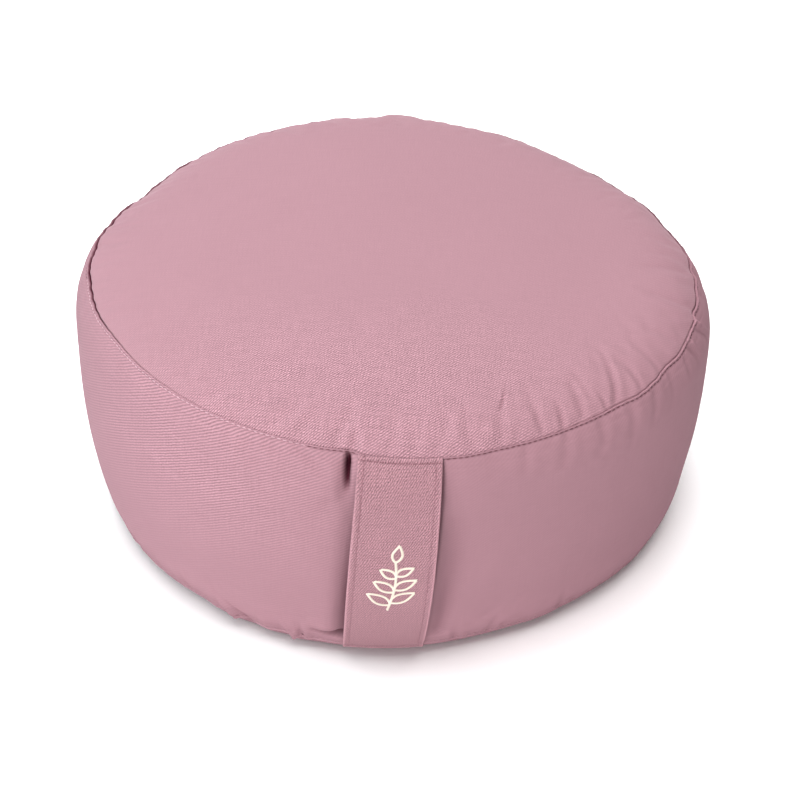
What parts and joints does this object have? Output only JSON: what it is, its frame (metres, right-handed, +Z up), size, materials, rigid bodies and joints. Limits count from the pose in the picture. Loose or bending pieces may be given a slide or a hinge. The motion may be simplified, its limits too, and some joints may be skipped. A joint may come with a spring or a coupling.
{
  "type": "round floor cushion with carry strap",
  "caption": "Round drum-shaped meditation cushion with a low crowned top, drawn-in seams and a flat carry strap sewn down its side.",
  "frame": {"origin": "the middle of the flat face that the cushion rests on, at floor height", "axes": "+Z up from the floor, -Y towards the front where the carry strap is, +X to the right seen from the front"},
  "size_m": [0.3299, 0.3456, 0.1521],
  "materials": {
    "rose_twill": "matte dusty-rose cotton twill",
    "strap_twill": "matte dusty-rose cotton twill, doubled, with a light embroidered motif"
  },
  "bodies": {
    "root": {"cushion": "rose_twill", "carry_strap": "strap_twill"}
  },
  "joints": []
}
